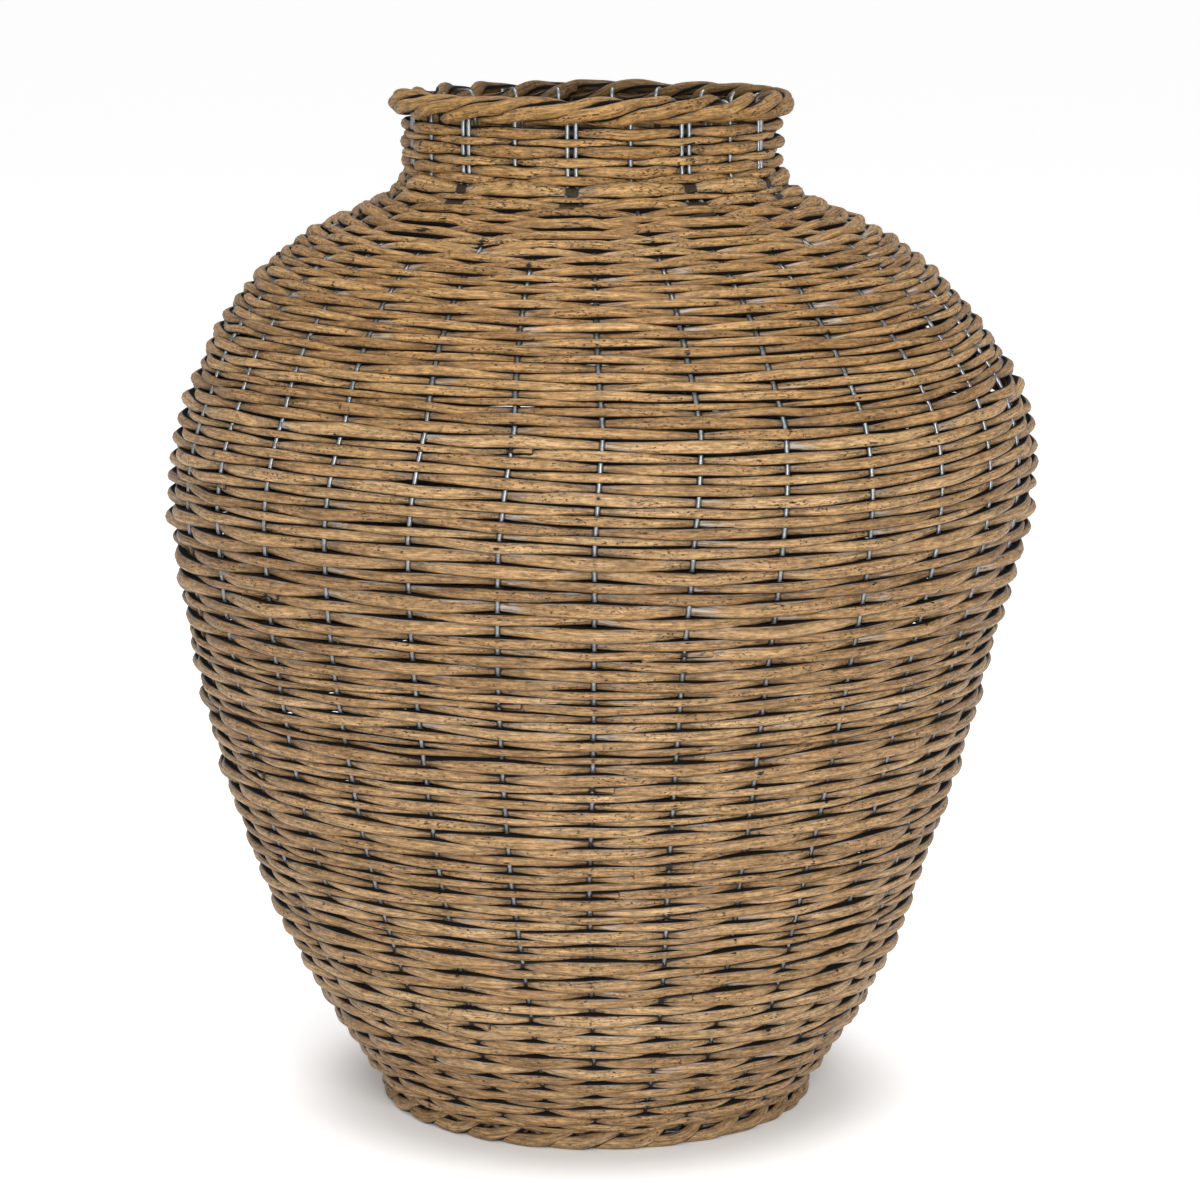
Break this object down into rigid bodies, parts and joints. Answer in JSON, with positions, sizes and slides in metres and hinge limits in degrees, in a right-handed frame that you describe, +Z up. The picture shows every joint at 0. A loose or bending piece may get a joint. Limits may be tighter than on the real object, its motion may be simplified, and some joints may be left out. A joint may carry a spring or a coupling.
{
  "type": "wicker vase",
  "caption": "Tall round-bellied floor vase of willow rods woven on galvanised wire stakes, with a short neck, a twisted rim bound by wire hooks and a woven base.",
  "frame": {"origin": "on the floor, under the middle of the vase", "axes": "+Z up the vase's axis, -Y towards the viewer of the picture, +X to the viewer's right"},
  "size_m": [0.4198, 0.4218, 0.4999],
  "materials": {
    "wall_willow": "peeled willow rods, satin, weathered grey in the crevices",
    "rim_willow": "thick willow rods, twisted, satin",
    "foot_willow": "thick willow rods, twisted, satin, a little darker",
    "base_willow": "willow sticks and rods, satin",
    "wire_steel": "galvanised wire, dull grey with bright highlights"
  },
  "bodies": {
    "root": {"wall_course_01": "wall_willow", "wall_course_02": "wall_willow", "wall_course_03": "wall_willow", "wall_course_04": "wall_willow", "wall_course_05": "wall_willow", "wall_course_06": "wall_willow", "wall_course_07": "wall_willow", "wall_course_08": "wall_willow", "wall_course_09": "wall_willow", "wall_course_10": "wall_willow", "wall_course_11": "wall_willow", "wall_course_12": "wall_willow", "wall_course_13": "wall_willow", "wall_course_14": "wall_willow", "throat_course": "wall_willow", "neck_course": "wall_willow", "rim_rod_1": "rim_willow", "rim_rod_2": "rim_willow", "rim_rod_3": "rim_willow", "foot_wale_outer": "foot_willow", "foot_wale_inner": "foot_willow", "base_weave": "base_willow", "base_stick_1": "base_willow", "base_stick_2": "base_willow", "base_stick_3": "base_willow", "base_stick_4": "base_willow", "base_stick_5": "base_willow", "base_stick_6": "base_willow", "base_stick_7": "base_willow", "base_stick_8": "base_willow", "stake_01": "wire_steel", "stake_02": "wire_steel", "stake_03": "wire_steel", "stake_04": "wire_steel", "stake_05": "wire_steel", "stake_06": "wire_steel", "stake_07": "wire_steel", "stake_08": "wire_steel", "stake_09": "wire_steel", "stake_10": "wire_steel", "stake_11": "wire_steel", "stake_12": "wire_steel", "stake_13": "wire_steel", "stake_14": "wire_steel", "stake_15": "wire_steel", "stake_16": "wire_steel", "stake_17": "wire_steel", "stake_18": "wire_steel", "stake_19": "wire_steel", "stake_20": "wire_steel", "stake_21": "wire_steel", "stake_22": "wire_steel", "stake_23": "wire_steel", "stake_24": "wire_steel", "stake_25": "wire_steel", "stake_26": "wire_steel", "stake_27": "wire_steel", "stake_28": "wire_steel", "stake_29": "wire_steel", "stake_30": "wire_steel"}
  },
  "joints": []
}
